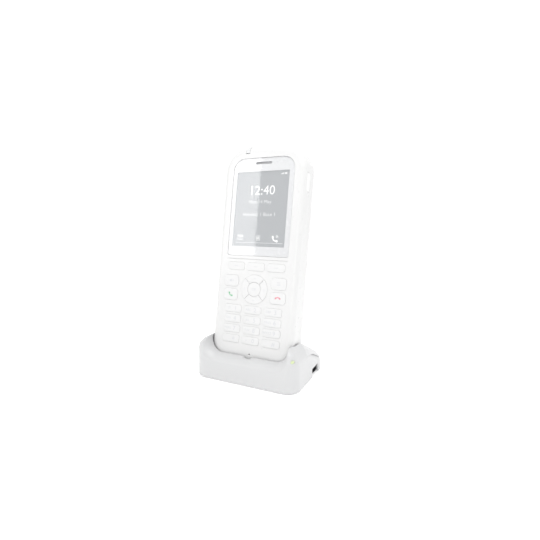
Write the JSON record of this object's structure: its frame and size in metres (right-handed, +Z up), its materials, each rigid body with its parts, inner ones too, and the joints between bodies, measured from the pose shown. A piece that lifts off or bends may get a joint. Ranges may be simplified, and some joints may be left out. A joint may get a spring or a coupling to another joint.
{
  "type": "cordless phone with base",
  "caption": "White cordless telephone handset with display, keypad and side keys, standing in a low rounded desk charger.",
  "frame": {"origin": "centre of the charger's footprint at desk level", "axes": "+Z up, -Y out of the handset's face and the charger's front, +X to the right seen from the front"},
  "size_m": [0.0716, 0.054, 0.1506],
  "materials": {
    "handset_white": "satin",
    "keys": "satin",
    "charger_white": "satin",
    "lens": "clear, polished",
    "display": "smooth",
    "mesh": "fine woven",
    "side_keys": "satin",
    "rubber": "matt",
    "pale_rubber": "matt",
    "dome_sheet": "matt",
    "circuit_board": "solder mask",
    "black_plastic": "matt",
    "battery_wrap": "shrink film",
    "contact_metal": "gold plated",
    "steel": "plain",
    "led": "clear"
  },
  "bodies": {
    "cradle": {"cradle_shell": "charger_white", "cradle_base": "charger_white", "rubber_feet": "rubber", "contact_spring_left": "steel", "contact_spring_right": "steel", "contact_holder": "black_plastic", "cradle_board": "circuit_board", "port_bezel": "black_plastic", "usb_socket": "steel", "led_pipe": "led", "ballast_plate": "steel", "cradle_screws": "steel"},
    "handset": {"front_casing": "handset_white", "rear_casing": "handset_white", "display_lens": "lens", "display_module": "display", "earpiece_mesh": "mesh", "earpiece_receiver": "steel", "key_dome_sheet": "dome_sheet", "main_board": "circuit_board", "microphone": "steel", "loudspeaker": "black_plastic", "vibration_motor": "steel", "antenna_strip": "contact_metal", "headset_jack": "black_plastic", "battery_pack": "battery_wrap", "battery_contacts": "contact_metal", "charge_pads": "contact_metal", "handset_screws": "steel"},
    "key_1": {"key_1": "keys"},
    "key_2": {"key_2": "keys"},
    "key_3": {"key_3": "keys"},
    "key_4": {"key_4": "keys"},
    "key_5": {"key_5": "keys"},
    "key_6": {"key_6": "keys"},
    "key_7": {"key_7": "keys"},
    "key_8": {"key_8": "keys"},
    "key_9": {"key_9": "keys"},
    "key_star": {"key_star": "keys"},
    "key_0": {"key_0": "keys"},
    "key_hash": {"key_hash": "keys"},
    "nav_right": {"nav_right": "keys"},
    "nav_up": {"nav_up": "keys"},
    "nav_left": {"nav_left": "keys"},
    "nav_down": {"nav_down": "keys"},
    "nav_ok": {"nav_ok": "keys"},
    "soft_key_left": {"soft_key_left": "keys"},
    "soft_key_middle": {"soft_key_middle": "keys"},
    "soft_key_right": {"soft_key_right": "keys"},
    "speaker_key": {"speaker_key": "keys"},
    "menu_key": {"menu_key": "keys"},
    "call_key": {"call_key": "keys"},
    "end_key": {"end_key": "keys"},
    "volume_rocker": {"volume_rocker": "keys"},
    "alarm_key": {"alarm_key": "side_keys"},
    "jack_cover": {"jack_cover": "pale_rubber"},
    "battery_cover": {"battery_cover": "handset_white"},
    "contact_pin_left": {"contact_pin_left": "contact_metal"},
    "contact_pin_right": {"contact_pin_right": "contact_metal"}
  },
  "joints": [
    {"name": "handset_lift", "type": "slide", "parent": "cradle", "child": "handset", "axis": [0, 0.1513, 0.9885], "range_m": [0, 0.04]},
    {"name": "key_1_press", "type": "slide", "parent": "handset", "child": "key_1", "axis": [0, 0.9885, -0.1513], "range_m": [0, 0.0004], "stiffness_N_per_m": 600},
    {"name": "key_2_press", "type": "slide", "parent": "handset", "child": "key_2", "axis": [0, 0.9885, -0.1513], "range_m": [0, 0.0004], "stiffness_N_per_m": 600},
    {"name": "key_3_press", "type": "slide", "parent": "handset", "child": "key_3", "axis": [0, 0.9885, -0.1513], "range_m": [0, 0.0004], "stiffness_N_per_m": 600},
    {"name": "key_4_press", "type": "slide", "parent": "handset", "child": "key_4", "axis": [0, 0.9885, -0.1513], "range_m": [0, 0.0004], "stiffness_N_per_m": 600},
    {"name": "key_5_press", "type": "slide", "parent": "handset", "child": "key_5", "axis": [0, 0.9885, -0.1513], "range_m": [0, 0.0004], "stiffness_N_per_m": 600},
    {"name": "key_6_press", "type": "slide", "parent": "handset", "child": "key_6", "axis": [0, 0.9885, -0.1513], "range_m": [0, 0.0004], "stiffness_N_per_m": 600},
    {"name": "key_7_press", "type": "slide", "parent": "handset", "child": "key_7", "axis": [0, 0.9885, -0.1513], "range_m": [0, 0.0004], "stiffness_N_per_m": 600},
    {"name": "key_8_press", "type": "slide", "parent": "handset", "child": "key_8", "axis": [0, 0.9885, -0.1513], "range_m": [0, 0.0004], "stiffness_N_per_m": 600},
    {"name": "key_9_press", "type": "slide", "parent": "handset", "child": "key_9", "axis": [0, 0.9885, -0.1513], "range_m": [0, 0.0004], "stiffness_N_per_m": 600},
    {"name": "key_star_press", "type": "slide", "parent": "handset", "child": "key_star", "axis": [0, 0.9885, -0.1513], "range_m": [0, 0.0004], "stiffness_N_per_m": 600},
    {"name": "key_0_press", "type": "slide", "parent": "handset", "child": "key_0", "axis": [0, 0.9885, -0.1513], "range_m": [0, 0.0004], "stiffness_N_per_m": 600},
    {"name": "key_hash_press", "type": "slide", "parent": "handset", "child": "key_hash", "axis": [0, 0.9885, -0.1513], "range_m": [0, 0.0004], "stiffness_N_per_m": 600},
    {"name": "nav_right_press", "type": "slide", "parent": "handset", "child": "nav_right", "axis": [0, 0.9885, -0.1513], "range_m": [0, 0.0004], "stiffness_N_per_m": 600},
    {"name": "nav_up_press", "type": "slide", "parent": "handset", "child": "nav_up", "axis": [0, 0.9885, -0.1513], "range_m": [0, 0.0004], "stiffness_N_per_m": 600},
    {"name": "nav_left_press", "type": "slide", "parent": "handset", "child": "nav_left", "axis": [0, 0.9885, -0.1513], "range_m": [0, 0.0004], "stiffness_N_per_m": 600},
    {"name": "nav_down_press", "type": "slide", "parent": "handset", "child": "nav_down", "axis": [0, 0.9885, -0.1513], "range_m": [0, 0.0004], "stiffness_N_per_m": 600},
    {"name": "nav_ok_press", "type": "slide", "parent": "handset", "child": "nav_ok", "axis": [0, 0.9885, -0.1513], "range_m": [0, 0.0004], "stiffness_N_per_m": 600},
    {"name": "soft_key_left_press", "type": "slide", "parent": "handset", "child": "soft_key_left", "axis": [0, 0.9885, -0.1513], "range_m": [0, 0.0004], "stiffness_N_per_m": 600},
    {"name": "soft_key_middle_press", "type": "slide", "parent": "handset", "child": "soft_key_middle", "axis": [0, 0.9885, -0.1513], "range_m": [0, 0.0004], "stiffness_N_per_m": 600},
    {"name": "soft_key_right_press", "type": "slide", "parent": "handset", "child": "soft_key_right", "axis": [0, 0.9885, -0.1513], "range_m": [0, 0.0004], "stiffness_N_per_m": 600},
    {"name": "speaker_key_press", "type": "slide", "parent": "handset", "child": "speaker_key", "axis": [0, 0.9885, -0.1513], "range_m": [0, 0.0004], "stiffness_N_per_m": 600},
    {"name": "menu_key_press", "type": "slide", "parent": "handset", "child": "menu_key", "axis": [0, 0.9885, -0.1513], "range_m": [0, 0.0004], "stiffness_N_per_m": 600},
    {"name": "call_key_press", "type": "slide", "parent": "handset", "child": "call_key", "axis": [0, 0.9885, -0.1513], "range_m": [0, 0.0004], "stiffness_N_per_m": 600},
    {"name": "end_key_press", "type": "slide", "parent": "handset", "child": "end_key", "axis": [0, 0.9885, -0.1513], "range_m": [0, 0.0004], "stiffness_N_per_m": 600},
    {"name": "alarm_key_press", "type": "slide", "parent": "handset", "child": "alarm_key", "axis": [0, -0.1513, -0.9885], "range_m": [0, 0.0004], "stiffness_N_per_m": 600},
    {"name": "volume_rock", "type": "hinge", "parent": "handset", "child": "volume_rocker", "pos_m": [-0.0288, 0.00097, 0.08485], "axis": [0, -0.9885, 0.1513], "range_deg": [-2, 2], "stiffness_Nm_per_rad": 0.05},
    {"name": "jack_cover_hinge", "type": "hinge", "parent": "handset", "child": "jack_cover", "pos_m": [0.0288, 0.00819, 0.132], "axis": [0, -0.9885, 0.1513], "range_deg": [0, 95]},
    {"name": "battery_cover_off", "type": "slide", "parent": "handset", "child": "battery_cover", "axis": [0, 0.9885, -0.1513], "range_m": [0, 0.015]},
    {"name": "contact_pin_left_press", "type": "slide", "parent": "cradle", "child": "contact_pin_left", "axis": [0, -0.1513, -0.9885], "range_m": [0, 0.0008], "stiffness_N_per_m": 300, "deforming": ["contact_spring_left"]},
    {"name": "contact_pin_right_press", "type": "slide", "parent": "cradle", "child": "contact_pin_right", "axis": [0, -0.1513, -0.9885], "range_m": [0, 0.0008], "stiffness_N_per_m": 300, "deforming": ["contact_spring_right"]}
  ]
}
